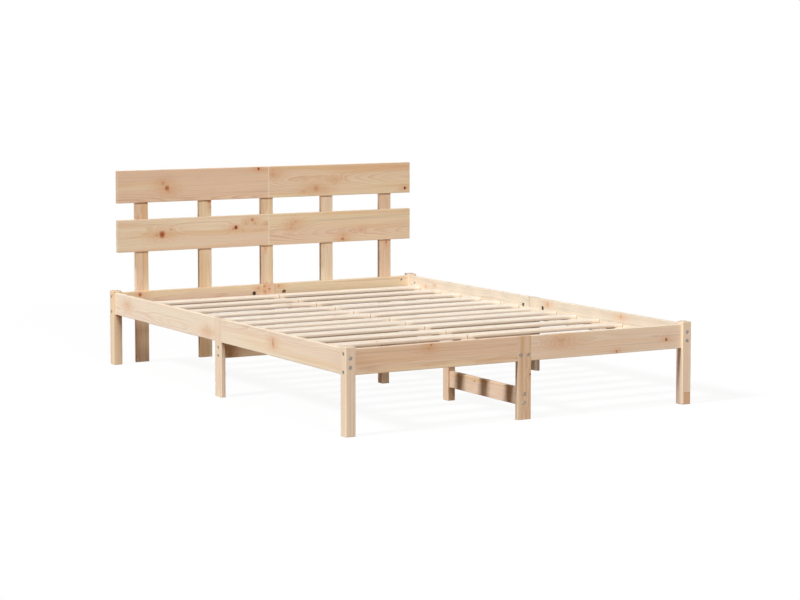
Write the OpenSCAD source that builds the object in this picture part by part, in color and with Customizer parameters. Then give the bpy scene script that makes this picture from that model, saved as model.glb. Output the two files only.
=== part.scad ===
// Low bed frame in solid pine for one double mattress, with a slatted deck and a two-plank headboard.
// Every long piece comes as two halves that butt a middle leg, so the frame packs flat.
// Origin: on the floor, in the middle of the frame. +X is to the right seen from the foot,
// +Y runs to the headboard, +Z is up. Millimetres.

/* [Mattress] */
// Width of the mattress that the frame takes
mattress_w = 1400; // [1200:10:1600]
// Length of the mattress that the frame takes
mattress_l = 2000; // [1900:10:2200]
// Room left over between mattress and rails, in all
mattress_play = 1; // [0:0.5:10]

/* [Corner legs] */
// Width of a corner leg, across the bed
leg_w = 38; // [30:1:60]
// Depth of a corner leg, along the bed
leg_d = 40; // [34:1:60]
// Height of a corner leg
leg_h = 309; // [302:1:420]
// How far a side rail lies in from the outer face of the leg
side_setback = 9; // [4:1:14]
// How far a head or foot rail lies in from the outer face of the leg
end_setback = 10; // [4:1:14]
// Rounding of the edges of the legs
leg_r = 2.5; // [1:0.5:5]

/* [Rails] */
// Thickness of the rails
rail_t = 18; // [16:1:22]
// Height of the rails
rail_h = 90; // [84:1:120]
// Height of the bottom of the rails over the floor
rail_z = 210; // [200:1:260]
// Rounding of the long edges of rails, planks, uprights and braces
board_r = 2.5; // [1:0.5:4]
// Rounding of the ends of all boards and slats
end_r = 1; // [0.5:0.25:1.5]

/* [Middle legs] */
// Width of a middle leg
middle_leg_w = 56; // [50:1:70]
// Thickness of a middle leg
middle_leg_t = 18; // [16:1:22]

/* [Headboard] */
// Height of the top of the headboard
headboard_h = 806; // [740:1:1000]
// Length of the headboard planks, both halves together
headboard_w = 1400; // [1150:10:1600]
// Height of a headboard plank
plank_h = 135; // [110:1:160]
// Thickness of a headboard plank
plank_t = 18; // [16:1:22]
// Open gap between the two rows of planks
plank_gap = 70; // [30:1:100]
// Width of an upright
upright_w = 58; // [50:1:70]
// Thickness of an upright
upright_t = 18; // [16:1:22]
// Distance between the uprights, centre to centre
upright_pitch = 292; // [240:1:320]
// How far the uprights stop short of the top of the planks
upright_drop = 12; // [4:1:30]

/* [Slats] */
// Width of a slat
slat_w = 58; // [54:1:64]
// Thickness of a slat
slat_t = 14; // [12:1:18]
// Rounding of the long edges of the slats
slat_r = 5.5; // [2:0.5:5.5]
// Gap between the corner legs at the foot and the first row of slats
slat_foot_gap = 14; // [12:1:40]
// Gap between the last row of slats and the corner legs at the head
slat_head_gap = 29; // [20:1:50]
// Play at each end of a slat
slat_play = 1.5; // [0.5:0.5:3]

/* [Slat supports] */
// Height of the supports' top over the bottom of the rails
deck_rise = 36; // [35:1:44]
// Height of the ledges and of the centre beam
support_h = 28; // [26:1:34]
// Width of a ledge
ledge_w = 36; // [28:1:44]
// Distance from a corner leg to the end of a ledge
ledge_setback = 6; // [2:1:10]
// Width of the centre beam
beam_w = 56; // [48:1:70]
// Width of a centre leg, across the bed
centre_leg_w = 31; // [28:1:44]
// Depth of a centre leg, along the bed
centre_leg_d = 38; // [34:1:50]
// Distance from the foot or head rail to the nearest centre leg
centre_leg_setback = 482; // [420:1:560]

/* [Braces] */
// Height of the cross beam and of the stretchers
brace_h = 62; // [56:1:70]
// Thickness of the cross beam and of the stretchers
brace_t = 18; // [16:1:22]
// Height of the bottom of the cross beam
cross_beam_z = 147; // [120:1:150]
// Height of the bottom of the stretchers
stretcher_z = 50; // [30:1:80]

/* [Bolts] */
// Diameter of bolts and threaded rods
bolt_d = 6; // [5:0.5:7]
// Play of a bolt in its bore, across the diameter
bolt_play = 0.8; // [0.4:0.1:1.2]
// Diameter of a bolt head
bolt_head_d = 12.5; // [11:0.5:14]
// Thickness of a bolt head
bolt_head_h = 2.2; // [1.8:0.1:2.6]
// Depth of the recess for a bolt head
bolt_recess = 3; // [2.7:0.1:4]
// Width of the hexagon socket in a bolt head, across its flats
socket_w = 4; // [3:0.5:5]
// Distance between the two bolts of a pair
bolt_spacing = 32; // [28:1:34]
// Height of the lower bolt of an end rail over the bottom of the rail
end_bolt_low = 11; // [9:1:13]
// Height of the upper bolt of an end rail over the bottom of the rail
end_bolt_high = 74; // [71:1:76]
// Height of the lower bolt of a side rail over the bottom of the rail
side_bolt_low = 28; // [25:1:28]
// Height of the lower bolt of a brace over the bottom of the brace
brace_bolt_low = 10; // [9:1:13]
// Diameter of a barrel nut
barrel_d = 10; // [9:0.5:12]
// Length of a barrel nut
barrel_l = 12; // [11:0.5:13]
// Distance from the end of a piece to its barrel nuts
barrel_setback = 32; // [28:1:34]

/* [Middle joints] */
// Height of the threaded rod over the bottom of the rail
rod_rise = 52; // [50:1:56]
// Distance from the end of a piece to the pocket of the rod's nut
pocket_setback = 44; // [36:1:54]
// Diameter of the pocket
pocket_d = 18; // [17:0.5:20]
// Thickness of the half-moon washer in the pocket
washer_t = 5; // [4:0.5:5.5]
// Width of the rod's nut across its flats
nut_w = 10; // [9:0.5:11]
// Thickness of the rod's nut
nut_t = 5; // [4:0.5:5.5]
// Diameter of a dowel
dowel_d = 8; // [6:1:8]
// Length of a dowel
dowel_l = 30; // [24:1:34]
// Height of the lower dowel over the bottom of the rail
dowel_low = 11; // [10:1:12]
// Distance of the upper dowel from the top of the rail
dowel_high = 13; // [10:1:14]

/* [Screws] */
// Diameter of the screws
screw_d = 4; // [3:0.5:4.5]
// Diameter of a screw head
screw_head_d = 8; // [6.5:0.5:9]
// Depth of the countersunk head
screw_head_h = 2.4; // [2:0.2:3]
// Length of a slat screw
slat_screw_l = 30; // [25:1:34]
// Distance from the end of a slat to its screw
slat_screw_setback = 15; // [12:1:20]
// Length of the screws through the uprights
board_screw_l = 32; // [28:1:34]
// Length of the screws through the ledges
ledge_screw_l = 48; // [46:1:50]
// Length of the screws through the centre beam
beam_screw_l = 60; // [45:1:70]

/* [Hidden] */
$fn = 48;
slat_rows = 13;
upright_count = 5;
// How far each row of slats lies off an even spacing, from the foot, as a share of the pitch:
// the rows are closer together in the middle of the bed
slat_shift = [0, 0.1, 0.19, 0.18, 0.19, 0.11, -0.08, -0.1, -0.21, -0.22, -0.17, -0.11, 0];
// Gaps between rows that hold the ledges' screws, in the foot half and in the head half
ledge_screw_gaps = [[0, 2, 4], [7, 9, 11]];
// Play of barrel nuts, dowels, screws and nuts in or on what they fit, across the diameter
fit = 0.2;
// How far a cut runs past a face, and how much deeper a blind bore is than what goes in
cut = 1;
pine = [0.90, 0.80, 0.67];
beech = [0.80, 0.66, 0.47];
steel = [0.74, 0.74, 0.75];

opening_w = mattress_w + mattress_play;
opening_l = mattress_l + mattress_play;
frame_w = opening_w + 2 * (side_setback + rail_t);
frame_l = opening_l + 2 * (end_setback + rail_t);
overall_l = max(frame_l, frame_l - end_setback + upright_t);

// Faces of the frame, seen from its foot left corner
foot_y = -overall_l / 2;
mid_y = foot_y + frame_l / 2;
left_x = -frame_w / 2;
side_x = left_x + side_setback;
side_inner_x = side_x + rail_t;
end_y = foot_y + end_setback;
end_inner_y = end_y + rail_t;
leg_inner_x = left_x + leg_w;
leg_inner_y = foot_y + leg_d;
rail_top = rail_z + rail_h;

// Bolts, rods and dowels run in the middle of the rails' thickness
side_mid_x = side_x + rail_t / 2;
end_mid_y = end_y + rail_t / 2;

// Slats and what they lie on
deck_z = rail_z + deck_rise;
support_z = deck_z - support_h;
deck_l = frame_l - 2 * leg_d - slat_foot_gap - slat_head_gap;
slat_pitch = (deck_l - slat_w) / (slat_rows - 1);
slat_l = opening_w / 2 - 2 * slat_play;
ledge_y = leg_inner_y + ledge_setback;
beam_y = end_y + middle_leg_t;
centre_leg_y = end_inner_y + centre_leg_setback;
cross_x = side_x + middle_leg_t;
beam_screw_x = centre_leg_w / 4;
beam_screw_y = centre_leg_d / 4;

// Headboard
upright_y = foot_y + frame_l - end_setback;
plank_y = upright_y - plank_t;
plank_top_z = headboard_h - plank_h;
plank_low_z = plank_top_z - plank_gap - plank_h;
board_screw_x = upright_w / 4;
middle_upright = (upright_count - 1) / 2;
// The middle upright's lowest screw goes in below the rail, clear of the middle leg's bolts
low_screw_drop = 50;

// Heights of the bolts and rods
end_bolt_z = [rail_z + end_bolt_low, rail_z + end_bolt_high];
side_bolt_z = [rail_z + side_bolt_low, rail_z + side_bolt_low + bolt_spacing];
cross_bolt_z = [cross_beam_z + brace_bolt_low, cross_beam_z + brace_bolt_low + bolt_spacing];
stretcher_bolt_z = [stretcher_z + brace_bolt_low, stretcher_z + brace_bolt_low + bolt_spacing];
beam_bolt_z = support_z + support_h / 2;
rod_z = rail_z + rod_rise;
cross_rod_z = cross_beam_z + brace_h / 2;
dowel_z = [rail_z + dowel_low, rail_top - dowel_high];

// A bolt ends a little past its barrel nut
bolt_past = 4;
shank_l = barrel_setback + barrel_d / 2 + bolt_past;
grip = shank_l - bolt_recess;
bore_d = bolt_d + bolt_play;
recess_d = bolt_head_d + 2 * bolt_play;
head_chamfer = 0.8;
socket_past_head = 1;
slot_w = 1.2;
slot_depth = 1;

// A rod ends a little past its nut, which bears on a washer against the pocket's wall
rod_past = 3;
washer_x = pocket_setback - pocket_d / 2;
rod_reach = washer_x + washer_t + nut_t + rod_past;
pocket_floor = nut_w / 2 + cut;

// Length of the tapered ends of the dowels
dowel_taper = 1;

function slat_y(i) = leg_inner_y + slat_foot_gap + (i + slat_shift[i]) * slat_pitch;
function slat_mid_y(i) = slat_y(i) + slat_w / 2;
function gap_mid_y(i) = (slat_y(i) + slat_w + slat_y(i + 1)) / 2;
function upright_x(i) = (i - middle_upright) * upright_pitch;

// Pieces are drawn at the foot and on the left, and are turned over for the head and the right
module at_right() {
    mirror([1, 0, 0]) children();
}

module at_head() {
    translate([0, 2 * mid_y, 0]) mirror([0, 1, 0]) children();
}

// The left or foot half is number 0, and the right or head half is number 1
module at_side(side) {
    if (side == 0) children();
    if (side == 1) at_right() children();
}

module at_half(half) {
    if (half == 0) children();
    if (half == 1) at_head() children();
}

module at_both_sides() {
    children();
    at_right() children();
}

module at_both_ends() {
    children();
    at_head() children();
}

// Axes that point along +X, along +Y and down
module along_x() {
    rotate([0, 90, 0]) rotate([0, 0, 90]) children();
}

module along_y() {
    rotate([-90, 0, 0]) children();
}

module downwards() {
    rotate([180, 0, 0]) rotate([0, 0, 90]) children();
}

// Section of a planed bar with eased edges, its corner at the origin
module section(a, b, r) {
    translate([r, 0]) square([a - 2 * r, b]);
    translate([0, r]) square([a, b - 2 * r]);
    for (x = [r, a - r], y = [r, b - r]) {
        translate([x, y]) circle(r);
    }
}

// Bars along X, Y and Z that start at the origin
module bar_x(size, r) {
    rotate([90, 0, 90]) linear_extrude(size[0]) section(size[1], size[2], r);
}

module bar_y(size, r) {
    translate([0, size[1], 0]) rotate([90, 0, 0]) linear_extrude(size[1]) section(size[0], size[2], r);
}

module bar_z(size, r) {
    linear_extrude(size[2]) section(size[0], size[1], r);
}

// Bar with all its edges eased: rx, ry and rz round those along X, Y and Z
module eased_bar(size, rx, ry, rz) {
    intersection() {
        bar_x(size, rx);
        bar_y(size, ry);
        bar_z(size, rz);
    }
}

// Boards along X, Y and Z, with their ends eased less than their long edges
module board_x(size, r) {
    eased_bar(size, r, end_r, end_r);
}

module board_y(size, r) {
    eased_bar(size, end_r, r, end_r);
}

module board_z(size, r) {
    eased_bar(size, end_r, end_r, r);
}

// Bolt with a flat head and a hexagon socket: the head's seat at the origin, the shank along +Z
module bolt(length) {
    difference() {
        union() {
            translate([0, 0, -bolt_head_h])
                cylinder(h = bolt_head_h, d1 = bolt_head_d - 2 * head_chamfer, d2 = bolt_head_d);
            cylinder(h = length, d = bolt_d);
        }
        translate([0, 0, -bolt_head_h - cut])
            cylinder(h = cut + bolt_head_h + socket_past_head, d = socket_w / cos(30), $fn = 6);
    }
}

// Recess and bore for a bolt, from the outer face of a leg that is as thick as given
module bolt_hole(thickness) {
    translate([0, 0, -cut]) cylinder(h = bolt_recess + cut, d = recess_d);
    cylinder(h = thickness + cut, d = bore_d);
}

// Bore for the end of a bolt, from the end face of the piece that it pulls up
module shank_hole() {
    translate([0, 0, -cut]) cylinder(h = shank_l + 2 * cut, d = bore_d);
}

// Barrel nut: its axis along Z, its cross bore along X, its slot at the open side
module barrel_nut() {
    difference() {
        translate([0, 0, -barrel_l / 2]) cylinder(h = barrel_l, d = barrel_d);
        translate([-barrel_d, 0, 0]) along_x() cylinder(h = 2 * barrel_d, d = bolt_d + fit);
        translate([-barrel_d / 2, -slot_w / 2, barrel_l / 2 - slot_depth])
            cube([barrel_d, slot_w, slot_depth + cut]);
    }
}

// Blind hole for a barrel nut in the middle of a piece as thick as given, open towards +Z
module barrel_hole(thickness) {
    translate([0, 0, -barrel_l / 2]) cylinder(h = (thickness + barrel_l) / 2 + cut, d = barrel_d + fit);
}

// Bore and pocket for one end of a threaded rod: the rod along +X from the end face of a rail
// or beam as thick as given, the pocket open towards +Z
module rod_hole(thickness) {
    translate([-cut, 0, 0]) along_x() cylinder(h = pocket_setback + cut, d = bore_d);
    translate([pocket_setback, 0, -pocket_floor])
        cylinder(h = pocket_floor + thickness / 2 + cut, d = pocket_d);
}

// Half-moon washer that bears on the pocket's wall
module joint_washer() {
    difference() {
        intersection() {
            translate([pocket_setback, 0, -pocket_floor])
                cylinder(h = 2 * pocket_floor, d = pocket_d - fit);
            translate([washer_x, -pocket_d / 2, -pocket_floor])
                cube([washer_t, pocket_d, 2 * pocket_floor]);
        }
        along_x() cylinder(h = pocket_setback, d = bore_d);
    }
}

module joint_nut() {
    translate([washer_x + washer_t, 0, 0]) along_x() difference() {
        cylinder(h = nut_t, d = nut_w / cos(30), $fn = 6);
        translate([0, 0, -cut]) cylinder(h = nut_t + 2 * cut, d = bolt_d + fit);
    }
}

// Threaded rod from nut to nut, through a leg that is as wide as given
module joint_rod(leg) {
    translate([-leg - rod_reach, 0, 0]) along_x() cylinder(h = leg + 2 * rod_reach, d = bolt_d);
}

// Dowel centred on the origin along Z, with tapered ends
module dowel() {
    r = dowel_d / 2;
    half_l = dowel_l / 2;
    rotate_extrude() polygon([
        [0, -half_l], [r - dowel_taper, -half_l], [r, dowel_taper - half_l],
        [r, half_l - dowel_taper], [r - dowel_taper, half_l], [0, half_l]
    ]);
}

module dowel_hole() {
    translate([0, 0, -dowel_l / 2 - cut]) cylinder(h = dowel_l + 2 * cut, d = dowel_d + fit);
}

// Countersunk screw that goes down from the origin, and its hole
module screw(length) {
    rotate_extrude() polygon([
        [0, 0], [screw_head_d / 2, 0], [screw_d / 2, -screw_head_h],
        [screw_d / 2, screw_d - length], [0, -length]
    ]);
}

module screw_hole(length) {
    hole_d = screw_d + fit;
    rotate_extrude() polygon([
        [0, cut], [screw_head_d / 2 + fit / 2, cut], [screw_head_d / 2 + fit / 2, 0],
        [hole_d / 2, -screw_head_h], [hole_d / 2, -length - cut], [0, -length - cut]
    ]);
}

// Places of the bolts of one corner: through the leg into the end rail, and into the side rail
module end_bolt_places() {
    for (z = end_bolt_z) {
        translate([left_x, end_mid_y, z]) along_x() children();
    }
}

module side_bolt_places() {
    for (z = side_bolt_z) {
        translate([side_mid_x, foot_y, z]) along_y() children();
    }
}

module end_barrel_places() {
    for (z = end_bolt_z) {
        translate([leg_inner_x + barrel_setback, end_mid_y, z]) along_y() children();
    }
}

module side_barrel_places() {
    for (z = side_bolt_z) {
        translate([side_mid_x, leg_inner_y + barrel_setback, z]) along_x() children();
    }
}

// Places of the bolts through the middle legs and through a centre leg
module cross_bolt_places() {
    for (z = cross_bolt_z) {
        translate([side_x, mid_y, z]) along_x() children();
    }
}

module beam_bolt_places() {
    for (side = [-1, 1]) {
        translate([side * bolt_spacing / 2, end_y, beam_bolt_z]) along_y() children();
    }
}

module stretcher_bolt_places() {
    for (z = stretcher_bolt_z) {
        translate([0, end_y, z]) along_y() children();
    }
}

module centre_bolt_places() {
    for (z = stretcher_bolt_z) {
        translate([0, centre_leg_y + centre_leg_d, z]) mirror([0, 1, 0]) along_y() children();
    }
}

// Places of their barrel nuts
module cross_barrel_places() {
    for (z = cross_bolt_z) {
        translate([cross_x + barrel_setback, mid_y, z]) along_y() children();
    }
}

module beam_barrel_places() {
    for (side = [-1, 1]) {
        translate([side * bolt_spacing / 2, beam_y + barrel_setback, beam_bolt_z]) downwards() children();
    }
}

module stretcher_barrel_places() {
    for (z = stretcher_bolt_z, y = [beam_y + barrel_setback, centre_leg_y - barrel_setback]) {
        translate([0, y, z]) along_x() children();
    }
}

// Ends of the rods: at the end rail's middle joint, at the side rail's and at the cross beam's
module end_rod_place() {
    translate([-middle_leg_w / 2, end_mid_y, rod_z]) mirror([1, 0, 0]) along_y() children();
}

module side_rod_place() {
    translate([side_mid_x, mid_y - middle_leg_w / 2, rod_z]) mirror([0, 1, 0]) along_x() children();
}

module cross_rod_place() {
    translate([-centre_leg_w / 2, mid_y, cross_rod_z]) mirror([1, 0, 0]) along_y() children();
}

// Places of the dowels of a half rail
module end_dowel_places() {
    for (z = dowel_z) {
        translate([-middle_leg_w / 2, end_mid_y, z]) along_x() children();
    }
}

module side_dowel_places() {
    for (z = dowel_z) {
        translate([side_mid_x, mid_y - middle_leg_w / 2, z]) along_y() children();
    }
}

// Places of the screws: through the slats, the ledges, the centre beam and the uprights
module slat_screw_places(i) {
    for (x = [slat_play + slat_screw_setback, opening_w / 2 - slat_play - slat_screw_setback]) {
        translate([-x, slat_mid_y(i), deck_z + slat_t]) children();
    }
}

module ledge_screw_places(half) {
    for (i = ledge_screw_gaps[half]) {
        translate([side_inner_x + ledge_w, gap_mid_y(i), support_z + support_h / 2]) along_x() children();
    }
}

module centre_leg_screw_places() {
    for (side = [-1, 1]) {
        translate([side * beam_screw_x, centre_leg_y + centre_leg_d / 2, deck_z]) children();
    }
}

module middle_screw_places() {
    for (side = [-1, 1]) {
        translate([side * beam_screw_x, mid_y - beam_screw_y, deck_z]) children();
    }
}

// Each board has two screws set diagonally, and the middle upright has pairs at one height,
// because each half of a plank takes one of the pair
module upright_screw_places(i) {
    inward = sign(middle_upright - i);
    boards = [[rail_z, rail_h], [plank_low_z, plank_h], [plank_top_z, plank_h]];
    diagonal = [for (b = boards, k = [-1, 1]) [k * inward, b[0] + (2 - k) * b[1] / 4]];
    rail_heights = [rail_z - low_screw_drop, rail_z + 3 * rail_h / 4];
    plank_heights = [plank_low_z + plank_h / 2, plank_top_z + plank_h / 2];
    pairs = [for (z = concat(rail_heights, plank_heights), k = [-1, 1]) [k, z]];
    for (place = inward == 0 ? pairs : diagonal) {
        translate([upright_x(i) + place[0] * board_screw_x, upright_y + upright_t, place[1]])
            along_y() children();
    }
}

module upright_screw_holes() {
    for (i = [0 : upright_count - 1]) {
        upright_screw_places(i) screw_hole(board_screw_l);
    }
}

module slat_screw_holes() {
    for (i = [0 : slat_rows - 1]) {
        slat_screw_places(i) screw_hole(slat_screw_l);
    }
}

module corner_leg() {
    color(pine) difference() {
        translate([left_x, foot_y, 0]) eased_bar([leg_w, leg_d, leg_h], leg_r, leg_r, leg_r);
        end_bolt_places() bolt_hole(leg_w);
        side_bolt_places() bolt_hole(leg_d);
    }
}

module middle_leg_side() {
    color(pine) difference() {
        translate([side_x, mid_y - middle_leg_w / 2, 0])
            board_z([middle_leg_t, middle_leg_w, rail_top], board_r);
        cross_bolt_places() bolt_hole(middle_leg_t);
        translate([side_mid_x, mid_y - middle_leg_w, rod_z])
            along_y() cylinder(h = 2 * middle_leg_w, d = bore_d);
        at_both_ends() side_dowel_places() dowel_hole();
    }
}

module middle_leg_end() {
    color(pine) difference() {
        translate([-middle_leg_w / 2, end_y, 0]) board_z([middle_leg_w, middle_leg_t, rail_top], board_r);
        beam_bolt_places() bolt_hole(middle_leg_t);
        stretcher_bolt_places() bolt_hole(middle_leg_t);
        translate([-middle_leg_w, end_mid_y, rod_z]) along_x() cylinder(h = 2 * middle_leg_w, d = bore_d);
        at_both_sides() end_dowel_places() dowel_hole();
    }
}

// The middle leg at the head has the middle upright screwed to its back
module middle_leg_head() {
    color(pine) difference() {
        at_head() middle_leg_end();
        upright_screw_holes();
    }
}

// Half of the foot rail; the head rail is the same before the uprights are screwed to it
module end_rail() {
    color(pine) difference() {
        translate([leg_inner_x, end_y, rail_z])
            board_x([-middle_leg_w / 2 - leg_inner_x, rail_t, rail_h], board_r);
        end_bolt_places() translate([0, 0, leg_w]) shank_hole();
        end_barrel_places() barrel_hole(rail_t);
        end_rod_place() rod_hole(rail_t);
        end_dowel_places() dowel_hole();
    }
}

module head_rail(side) {
    color(pine) difference() {
        at_side(side) at_head() end_rail();
        upright_screw_holes();
    }
}

// Half of a side rail, without the holes of its ledge's screws
module side_rail_blank() {
    difference() {
        translate([side_x, leg_inner_y, rail_z])
            board_y([rail_t, mid_y - middle_leg_w / 2 - leg_inner_y, rail_h], board_r);
        side_bolt_places() translate([0, 0, leg_d]) shank_hole();
        side_barrel_places() barrel_hole(rail_t);
        side_rod_place() rod_hole(rail_t);
        side_dowel_places() dowel_hole();
    }
}

module side_rail(half) {
    color(pine) difference() {
        at_half(half) side_rail_blank();
        ledge_screw_places(half) screw_hole(ledge_screw_l);
    }
}

// Ledge that the outer ends of the slats lie on, with a bore through which the rail's lower
// barrel nut goes in
module ledge(half) {
    color(pine) difference() {
        at_half(half) translate([side_inner_x, ledge_y, support_z])
            board_y([ledge_w, mid_y - ledge_y, support_h], board_r);
        at_half(half) side_barrel_places() cylinder(h = rail_t + ledge_w, d = barrel_d + fit);
        ledge_screw_places(half) screw_hole(ledge_screw_l);
        slat_screw_holes();
    }
}

// Half of a row of headboard planks, its bottom at the given height
module plank(side, bottom) {
    color(pine) difference() {
        at_side(side) translate([-headboard_w / 2, plank_y, bottom])
            board_x([headboard_w / 2, plank_t, plank_h], board_r);
        upright_screw_holes();
    }
}

module upright(i) {
    color(pine) difference() {
        translate([upright_x(i) - upright_w / 2, upright_y, 0])
            board_z([upright_w, upright_t, headboard_h - upright_drop], board_r);
        upright_screw_places(i) screw_hole(board_screw_l);
    }
}

// Half of the beam that the inner ends of the slats lie on, without the holes of the slats' screws
module centre_beam_blank() {
    difference() {
        translate([-beam_w / 2, beam_y, support_z]) board_y([beam_w, mid_y - beam_y, support_h], board_r);
        beam_bolt_places() translate([0, 0, middle_leg_t]) shank_hole();
        beam_barrel_places() barrel_hole(support_h);
        centre_leg_screw_places() screw_hole(beam_screw_l);
        middle_screw_places() screw_hole(beam_screw_l);
    }
}

module centre_beam(half) {
    color(pine) difference() {
        at_half(half) centre_beam_blank();
        at_both_sides() slat_screw_holes();
    }
}

module cross_beam() {
    color(pine) difference() {
        translate([cross_x, mid_y - brace_t / 2, cross_beam_z])
            board_x([-centre_leg_w / 2 - cross_x, brace_t, brace_h], board_r);
        cross_bolt_places() translate([0, 0, middle_leg_t]) shank_hole();
        cross_barrel_places() barrel_hole(brace_t);
        cross_rod_place() rod_hole(brace_t);
    }
}

// Centre leg under half of the beam, bolted to the stretcher
module centre_leg() {
    color(pine) difference() {
        translate([-centre_leg_w / 2, centre_leg_y, 0])
            board_z([centre_leg_w, centre_leg_d, support_z], board_r);
        centre_bolt_places() bolt_hole(centre_leg_d);
        centre_leg_screw_places() screw_hole(beam_screw_l);
    }
}

// Centre leg in the middle of the bed, with the rod of the cross beam through it
module centre_leg_middle() {
    color(pine) difference() {
        translate([-centre_leg_w / 2, mid_y - centre_leg_d / 2, 0])
            board_z([centre_leg_w, centre_leg_d, support_z], board_r);
        translate([-centre_leg_w, mid_y, cross_rod_z]) along_x() cylinder(h = 2 * centre_leg_w, d = bore_d);
        at_both_ends() middle_screw_places() screw_hole(beam_screw_l);
    }
}

module stretcher() {
    color(pine) difference() {
        translate([-brace_t / 2, beam_y, stretcher_z])
            board_y([brace_t, centre_leg_y - beam_y, brace_h], board_r);
        stretcher_bolt_places() translate([0, 0, middle_leg_t]) shank_hole();
        centre_bolt_places() translate([0, 0, centre_leg_d]) shank_hole();
        stretcher_barrel_places() barrel_hole(brace_t);
    }
}

// Row of slats: one from each ledge to the centre beam
module slat_row(i) {
    color(pine) at_both_sides() difference() {
        translate([-opening_w / 2 + slat_play, slat_y(i), deck_z]) board_x([slat_l, slat_w, slat_t], slat_r);
        slat_screw_places(i) screw_hole(slat_screw_l);
    }
}

module corner_bolts() {
    color(steel) at_both_sides() at_both_ends() {
        end_bolt_places() translate([0, 0, bolt_recess]) bolt(leg_w + grip);
        side_bolt_places() translate([0, 0, bolt_recess]) bolt(leg_d + grip);
    }
}

module middle_bolts() {
    color(steel) {
        at_both_sides() cross_bolt_places() translate([0, 0, bolt_recess]) bolt(middle_leg_t + grip);
        at_both_ends() {
            beam_bolt_places() translate([0, 0, bolt_recess]) bolt(middle_leg_t + grip);
            stretcher_bolt_places() translate([0, 0, bolt_recess]) bolt(middle_leg_t + grip);
            centre_bolt_places() translate([0, 0, bolt_recess]) bolt(centre_leg_d + grip);
        }
    }
}

module barrel_nuts() {
    color(steel) {
        at_both_sides() {
            at_both_ends() {
                end_barrel_places() barrel_nut();
                side_barrel_places() barrel_nut();
            }
            cross_barrel_places() barrel_nut();
        }
        at_both_ends() {
            beam_barrel_places() barrel_nut();
            stretcher_barrel_places() barrel_nut();
        }
    }
}

// Rods through the middle legs and through the centre leg in the middle of the bed
module joint_rods() {
    color(steel) {
        at_both_ends() end_rod_place() joint_rod(middle_leg_w);
        at_both_sides() side_rod_place() joint_rod(middle_leg_w);
        cross_rod_place() joint_rod(centre_leg_w);
    }
}

// Every end of a rod
module rod_end_places() {
    at_both_sides() {
        at_both_ends() {
            end_rod_place() children();
            side_rod_place() children();
        }
        cross_rod_place() children();
    }
}

module dowels() {
    color(beech) at_both_sides() at_both_ends() {
        end_dowel_places() dowel();
        side_dowel_places() dowel();
    }
}

module slat_screws() {
    color(steel) at_both_sides() {
        for (i = [0 : slat_rows - 1]) {
            slat_screw_places(i) screw(slat_screw_l);
        }
    }
}

module frame_screws() {
    color(steel) {
        at_both_sides() {
            for (half = [0, 1]) {
                ledge_screw_places(half) screw(ledge_screw_l);
            }
        }
        at_both_ends() {
            centre_leg_screw_places() screw(beam_screw_l);
            middle_screw_places() screw(beam_screw_l);
        }
        for (i = [0 : upright_count - 1]) {
            upright_screw_places(i) screw(board_screw_l);
        }
    }
}

corner_leg();  // corner_leg_foot_left
at_right() corner_leg();  // corner_leg_foot_right
at_head() corner_leg();  // corner_leg_head_left
at_right() at_head() corner_leg();  // corner_leg_head_right
middle_leg_side();  // middle_leg_left
at_right() middle_leg_side();  // middle_leg_right
middle_leg_end();  // middle_leg_foot
middle_leg_head();
side_rail(0);  // side_rail_left_foot
side_rail(1);  // side_rail_left_head
at_right() side_rail(0);  // side_rail_right_foot
at_right() side_rail(1);  // side_rail_right_head
end_rail();  // foot_rail_left
at_right() end_rail();  // foot_rail_right
head_rail(0);  // head_rail_left
head_rail(1);  // head_rail_right
plank(0, plank_top_z);  // plank_top_left
plank(1, plank_top_z);  // plank_top_right
plank(0, plank_low_z);  // plank_low_left
plank(1, plank_low_z);  // plank_low_right
upright(0);  // upright_1
upright(1);  // upright_2
upright(2);  // upright_3
upright(3);  // upright_4
upright(4);  // upright_5
centre_beam(0);  // centre_beam_foot
centre_beam(1);  // centre_beam_head
cross_beam();  // cross_beam_left
at_right() cross_beam();  // cross_beam_right
centre_leg();  // centre_leg_foot
centre_leg_middle();
at_head() centre_leg();  // centre_leg_head
stretcher();  // stretcher_foot
at_head() stretcher();  // stretcher_head
ledge(0);  // ledge_left_foot
ledge(1);  // ledge_left_head
at_right() ledge(0);  // ledge_right_foot
at_right() ledge(1);  // ledge_right_head
slat_row(0);  // slat_row_1
slat_row(1);  // slat_row_2
slat_row(2);  // slat_row_3
slat_row(3);  // slat_row_4
slat_row(4);  // slat_row_5
slat_row(5);  // slat_row_6
slat_row(6);  // slat_row_7
slat_row(7);  // slat_row_8
slat_row(8);  // slat_row_9
slat_row(9);  // slat_row_10
slat_row(10);  // slat_row_11
slat_row(11);  // slat_row_12
slat_row(12);  // slat_row_13
corner_bolts();
middle_bolts();
barrel_nuts();
joint_rods();
color(steel) rod_end_places() joint_washer();  // joint_washers
color(steel) rod_end_places() joint_nut();  // joint_nuts
dowels();
slat_screws();
frame_screws();
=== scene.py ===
# Low double bed frame in untreated pine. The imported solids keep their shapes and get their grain,
# knots and end grain here, and the bolts and screws are made again with rounded heads and sockets.
import itertools
import math
import random

import bmesh
import bpy
from mathutils import Matrix, Vector


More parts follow.
